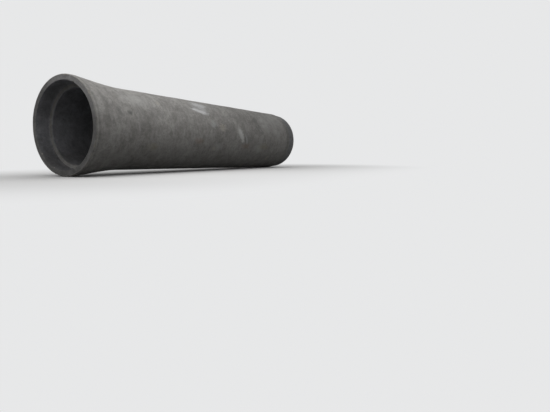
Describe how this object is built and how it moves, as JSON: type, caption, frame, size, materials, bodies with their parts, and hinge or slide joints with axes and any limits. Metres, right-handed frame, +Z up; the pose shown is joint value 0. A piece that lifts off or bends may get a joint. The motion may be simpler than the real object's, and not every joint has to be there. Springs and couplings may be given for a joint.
{
  "type": "concrete culvert pipe",
  "caption": "Large precast concrete culvert pipe with a flared socket bell at one end and a stepped spigot at the other, lying on level ground.",
  "frame": {"origin": "on the ground, under the middle of the pipe", "axes": "+Z up; +Y along the pipe, from the bell to the spigot, with the axis dipping 0.86 degrees because the bell is wider than the barrel"},
  "size_m": [1.2996, 5.2075, 1.3002],
  "materials": {
    "concrete": "weathered cast concrete, matt, with stains and small chips"
  },
  "bodies": {
    "root": {"pipe": "concrete"}
  },
  "joints": []
}
